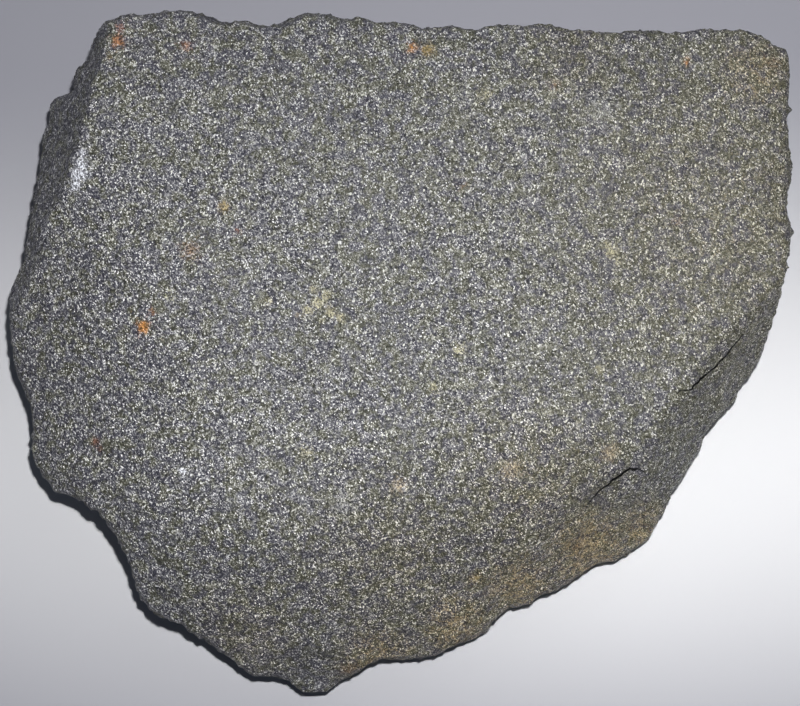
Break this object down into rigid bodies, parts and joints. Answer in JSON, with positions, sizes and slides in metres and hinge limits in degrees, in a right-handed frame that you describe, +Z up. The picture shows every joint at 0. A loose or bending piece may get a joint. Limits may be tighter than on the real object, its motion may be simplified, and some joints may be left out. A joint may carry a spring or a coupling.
{
  "type": "andesite hand specimen",
  "caption": "Loose block of fine-grained grey andesite with a broad rolling fracture face, steep broken sides and a small flat resting spot.",
  "frame": {"origin": "centre of the stone's box in plan, at the height of the flat spot that it rests on", "axes": "+Z up out of the big fracture face, +X along the stone's longest side, +Y towards its straight top edge as the picture shows it"},
  "size_m": [0.1124, 0.0978, 0.0309],
  "materials": {
    "andesite": "dull grey broken stone, finely speckled with pale feldspar grains and a few rust spots"
  },
  "bodies": {
    "root": {"andesite_block": "andesite"}
  },
  "joints": []
}
